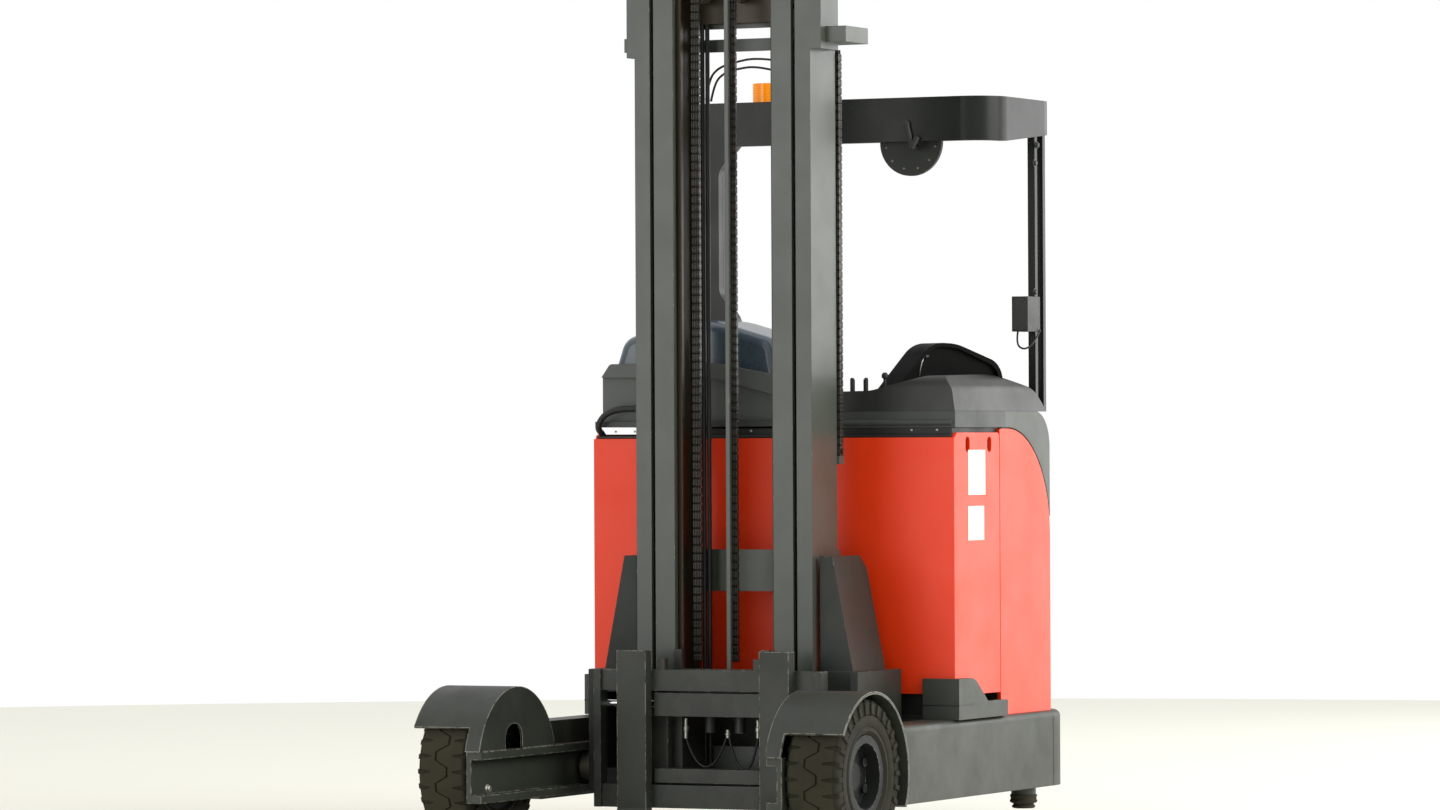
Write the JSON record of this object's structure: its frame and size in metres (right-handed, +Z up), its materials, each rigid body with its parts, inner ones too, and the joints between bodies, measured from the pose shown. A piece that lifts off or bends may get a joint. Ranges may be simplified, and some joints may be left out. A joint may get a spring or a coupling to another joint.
{
  "type": "reach truck",
  "caption": "Electric reach truck with side-facing seat, overhead guard, support legs, reaching three-stage mast, tilting side-shift carriage and forks.",
  "frame": {"origin": "on the floor, midway between the rear bumper and the fork tips, on the truck's centre plane", "axes": "+X forward towards the fork tips, +Y to the truck's left, +Z up"},
  "size_m": [2.57, 1.418, 2.6999],
  "materials": {
    "chassis_grey": "satin dark grey paint",
    "mast_grey": "satin dark grey paint",
    "greased_steel": "dark greased steel",
    "red_paint": "gloss red paint",
    "grey_plastic": "mid grey moulding",
    "dark_plastic": "grained dark moulding",
    "blue_gloss": "glossy dark blue moulding",
    "tyre_rubber": "worn solid rubber",
    "drive_poly": "polyurethane tread",
    "rim_steel": "dark grey paint",
    "bare_steel": "bare steel",
    "chrome_rod": "hard chrome",
    "cast_housing": "painted casting",
    "battery_case": "dark grey steel case",
    "amber_lens": "translucent amber",
    "seat_cloth": "black woven cloth",
    "hose_rubber": "black hose",
    "chain_steel": "oiled chain"
  },
  "bodies": {
    "chassis": {"chassis_frame": "chassis_grey", "support_legs": "chassis_grey", "fenders": "chassis_grey", "cab_floor": "chassis_grey", "battery": "battery_case", "battery_cover": "chassis_grey", "battery_frame": "chassis_grey", "battery_side_covers": "red_paint", "front_panel": "red_paint", "side_panels": "red_paint", "side_hoods": "grey_plastic", "corner_bumpers": "chassis_grey", "cab_walls": "chassis_grey", "console_column": "dark_plastic", "console": "dark_plastic", "control_levers": "dark_plastic", "steering_hood": "dark_plastic", "seat_hood": "grey_plastic", "seat_shell": "blue_gloss", "seat_base": "dark_plastic", "seat_cushions": "seat_cloth", "overhead_guard": "chassis_grey", "beacon_base": "dark_plastic", "beacon_lens": "amber_lens", "cab_fittings": "dark_plastic", "reach_barrel": "mast_grey"},
    "load_wheel_left": {"load_tyre_left": "tyre_rubber", "load_rim_left": "rim_steel"},
    "load_wheel_right": {"load_tyre_right": "tyre_rubber", "load_rim_right": "rim_steel"},
    "drive_unit": {"drive_gearbox": "cast_housing", "drive_motor": "cast_housing"},
    "drive_wheel": {"drive_tyre": "drive_poly", "drive_hub": "cast_housing"},
    "reach_carriage": {"reach_frame": "mast_grey", "reach_rollers": "bare_steel", "reach_rod": "chrome_rod", "outer_mast": "mast_grey", "outer_rollers": "bare_steel", "lift_barrels": "mast_grey", "rear_chains": "hose_rubber"},
    "middle_stage": {"middle_mast": "mast_grey", "middle_rollers": "bare_steel", "lift_rods": "chrome_rod"},
    "inner_stage": {"inner_mast": "greased_steel", "inner_rollers": "bare_steel", "guide_bar": "bare_steel", "lift_chains": "chain_steel", "mast_hoses": "hose_rubber"},
    "lift_carriage": {"fork_carriage": "mast_grey", "carriage_rollers": "bare_steel", "tilt_rams": "mast_grey"},
    "tilting_frame": {"tilt_frame": "mast_grey"},
    "fork_frame": {"side_shift_frame": "mast_grey", "side_shift_rod": "chrome_rod", "forks": "mast_grey"}
  },
  "joints": [
    {"name": "load_wheel_left_spin", "type": "hinge", "parent": "chassis", "child": "load_wheel_left", "pos_m": [0.435, 0.605, 0.2285], "axis": [0, 1, 0], "continuous": true},
    {"name": "load_wheel_right_spin", "type": "hinge", "parent": "chassis", "child": "load_wheel_right", "pos_m": [0.435, -0.605, 0.2285], "axis": [0, 1, 0], "continuous": true},
    {"name": "steering", "type": "hinge", "parent": "chassis", "child": "drive_unit", "pos_m": [-0.995, -0.12, 0.3], "axis": [0, 0, 1], "range_deg": [-90, 90]},
    {"name": "drive_wheel_spin", "type": "hinge", "parent": "drive_unit", "child": "drive_wheel", "pos_m": [-0.995, -0.12, 0.1715], "axis": [0, 1, 0], "continuous": true},
    {"name": "reach", "type": "slide", "parent": "chassis", "child": "reach_carriage", "axis": [1, 0, 0], "range_m": [0, 0.55]},
    {"name": "middle_lift", "type": "slide", "parent": "reach_carriage", "child": "middle_stage", "axis": [0, 0, 1], "range_m": [0, 1.85]},
    {"name": "inner_lift", "type": "slide", "parent": "middle_stage", "child": "inner_stage", "axis": [0, 0, 1], "range_m": [0, 1.85]},
    {"name": "carriage_lift", "type": "slide", "parent": "inner_stage", "child": "lift_carriage", "axis": [0, 0, 1], "range_m": [0, 1.95], "deforming": ["lift_chains"]},
    {"name": "fork_tilt", "type": "hinge", "parent": "lift_carriage", "child": "tilting_frame", "pos_m": [0.035, 0, 0.5], "axis": [0, 1, 0], "range_deg": [-4, 2]},
    {"name": "side_shift", "type": "slide", "parent": "tilting_frame", "child": "fork_frame", "axis": [0, 1, 0], "range_m": [-0.075, 0.075]}
  ],
  "couplings": [
    {"joint": "inner_lift", "follows": "middle_lift", "ratio": 1}
  ]
}
